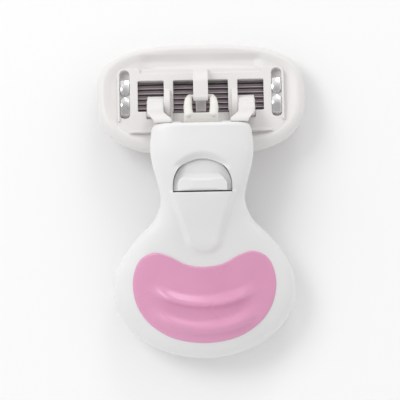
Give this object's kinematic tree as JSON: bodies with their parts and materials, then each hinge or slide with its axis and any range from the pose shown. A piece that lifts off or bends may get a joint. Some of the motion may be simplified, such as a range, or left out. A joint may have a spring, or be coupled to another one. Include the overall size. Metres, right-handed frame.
{
  "type": "cartridge razor",
  "caption": "Compact cartridge razor: a pivoting cartridge in a wide oval surround, clipped by a yoke into the neck of a short paddle handle with a release button and a rubber thumb pad.",
  "frame": {"origin": "centre of the bounding box in X and Y, on the plane the razor lies on", "axes": "+Y from the tail of the handle to the cap edge of the cartridge, +Z out of the thumb side, +X to the right"},
  "size_m": [0.0514, 0.0778, 0.021],
  "materials": {
    "white_plastic": "fine satin to gloss moulded ABS",
    "cream_plastic": "natural acetal",
    "inner_plastic": "moulded",
    "pink_rubber": "smooth moulded elastomer",
    "lubricating_strip": "waxy",
    "clip_metal": "bright rolled",
    "blade_steel": "ground",
    "support_steel": "rolled",
    "spring_steel": "drawn wire"
  },
  "bodies": {
    "handle": {"handle_back_shell": "white_plastic", "handle_front_shell": "white_plastic", "grip_pad_back": "pink_rubber", "grip_pad_front": "pink_rubber", "chassis": "inner_plastic", "plunger_spring": "spring_steel", "button_spring": "spring_steel"},
    "plunger": {"plunger": "cream_plastic"},
    "button": {"release_button": "white_plastic", "ejector": "inner_plastic"},
    "yoke": {"yoke": "white_plastic"},
    "cartridge": {"cartridge_frame": "white_plastic", "comfort_surround": "white_plastic", "lubricating_strip": "lubricating_strip", "guard_strip": "pink_rubber", "clip_left": "clip_metal", "clip_right": "clip_metal"},
    "blade_unit_1": {"blade_1": "blade_steel", "blade_support_1": "support_steel"},
    "blade_unit_2": {"blade_2": "blade_steel", "blade_support_2": "support_steel"},
    "blade_unit_3": {"blade_3": "blade_steel", "blade_support_3": "support_steel"},
    "blade_unit_4": {"blade_4": "blade_steel", "blade_support_4": "support_steel"},
    "blade_unit_5": {"blade_5": "blade_steel", "blade_support_5": "support_steel"},
    "blade_unit_6": {"blade_6": "blade_steel", "blade_support_6": "support_steel"}
  },
  "joints": [
    {"name": "button_push", "type": "slide", "parent": "handle", "child": "button", "axis": [0, 1, 0], "range_m": [0, 0.0025], "stiffness_N_per_m": 600, "springref_m": -0.002, "deforming": ["button_spring"]},
    {"name": "yoke_release", "type": "slide", "parent": "button", "child": "yoke", "axis": [0, 1, 0], "range_m": [0, 0.0045], "stiffness_N_per_m": 300, "springref_m": -0.0005},
    {"name": "cartridge_pivot", "type": "hinge", "parent": "yoke", "child": "cartridge", "pos_m": [0, 0.02321, 0.00677], "axis": [1, 0, 0], "range_deg": [0, 40], "stiffness_Nm_per_rad": 0.008, "springref_deg": -14.32},
    {"name": "plunger_slide", "type": "slide", "parent": "handle", "child": "plunger", "axis": [0, 1, 0], "range_m": [-0.0031, 0], "deforming": ["plunger_spring"]},
    {"name": "blade_1_slide", "type": "slide", "parent": "cartridge", "child": "blade_unit_1", "axis": [0, 0.309, 0.9511], "range_m": [0, 0.0002], "stiffness_N_per_m": 400, "springref_m": -0.0001},
    {"name": "blade_2_slide", "type": "slide", "parent": "cartridge", "child": "blade_unit_2", "axis": [0, 0.309, 0.9511], "range_m": [0, 0.0002], "stiffness_N_per_m": 400, "springref_m": -0.0001},
    {"name": "blade_3_slide", "type": "slide", "parent": "cartridge", "child": "blade_unit_3", "axis": [0, 0.309, 0.9511], "range_m": [0, 0.0002], "stiffness_N_per_m": 400, "springref_m": -0.0001},
    {"name": "blade_4_slide", "type": "slide", "parent": "cartridge", "child": "blade_unit_4", "axis": [0, 0.309, 0.9511], "range_m": [0, 0.0002], "stiffness_N_per_m": 400, "springref_m": -0.0001},
    {"name": "blade_5_slide", "type": "slide", "parent": "cartridge", "child": "blade_unit_5", "axis": [0, 0.309, 0.9511], "range_m": [0, 0.0002], "stiffness_N_per_m": 400, "springref_m": -0.0001},
    {"name": "blade_6_slide", "type": "slide", "parent": "cartridge", "child": "blade_unit_6", "axis": [0, 0.309, 0.9511], "range_m": [0, 0.0002], "stiffness_N_per_m": 400, "springref_m": -0.0001}
  ],
  "couplings": [
    {"joint": "plunger_slide", "follows": "cartridge_pivot", "m_per_rad": -0.00434}
  ]
}
